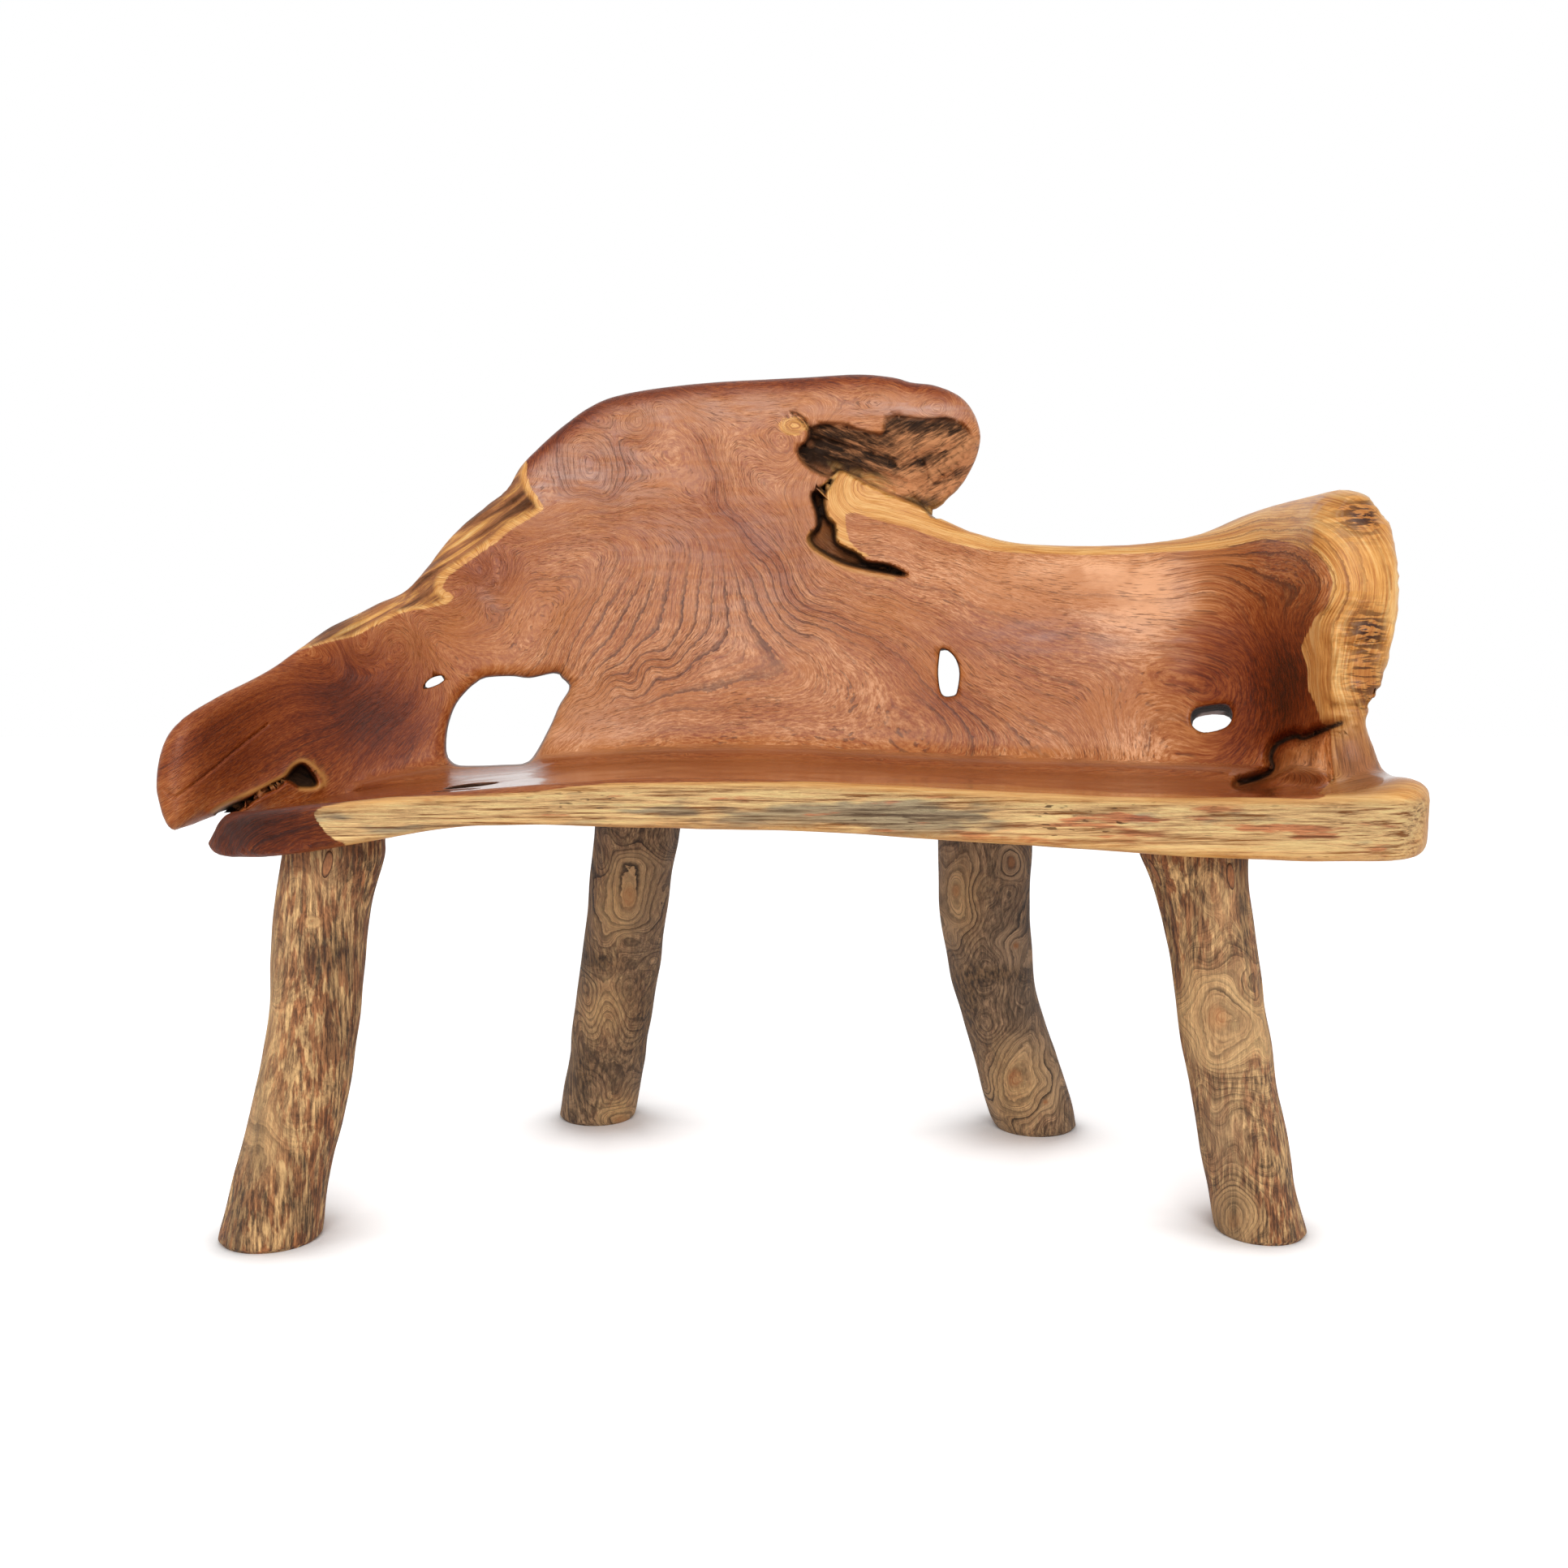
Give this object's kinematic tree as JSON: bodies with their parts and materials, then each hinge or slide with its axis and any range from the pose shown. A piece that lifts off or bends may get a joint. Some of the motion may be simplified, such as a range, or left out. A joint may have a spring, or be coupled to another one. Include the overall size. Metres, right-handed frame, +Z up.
{
  "type": "rustic root bench",
  "caption": "Live-edge bench with seat and leaning back carved from a single root, pierced by natural holes, standing on splayed round log legs",
  "frame": {"origin": "on the floor, under the middle of the bench's bounding box", "axes": "+X along the seat, to the right as seen from the front; +Y from the front edge of the seat to the back; +Z up"},
  "size_m": [1.286, 0.5268, 0.9092],
  "materials": {
    "root_wood": "clear gloss varnish on reddish heartwood, with pale sapwood at the edges",
    "log_wood": "debarked log under thin matt oil, with dark rings round its knots",
    "plug_wood": "oiled hardwood dowel, trimmed flush",
    "screw_steel": "zinc plated"
  },
  "bodies": {
    "root": {"root_shell": "root_wood", "leg_front_left": "log_wood", "leg_front_right": "log_wood", "leg_back_left": "log_wood", "leg_back_right": "log_wood", "plug_front_left_1": "plug_wood", "plug_front_left_2": "plug_wood", "plug_front_left_3": "plug_wood", "plug_front_right_1": "plug_wood", "plug_front_right_2": "plug_wood", "plug_front_right_3": "plug_wood", "plug_back_left_1": "plug_wood", "plug_back_left_2": "plug_wood", "plug_back_left_3": "plug_wood", "plug_back_right_1": "plug_wood", "plug_back_right_2": "plug_wood", "plug_back_right_3": "plug_wood", "toe_screws_front_left": "screw_steel", "toe_screws_front_right": "screw_steel", "toe_screws_back_left": "screw_steel", "toe_screws_back_right": "screw_steel"}
  },
  "joints": []
}
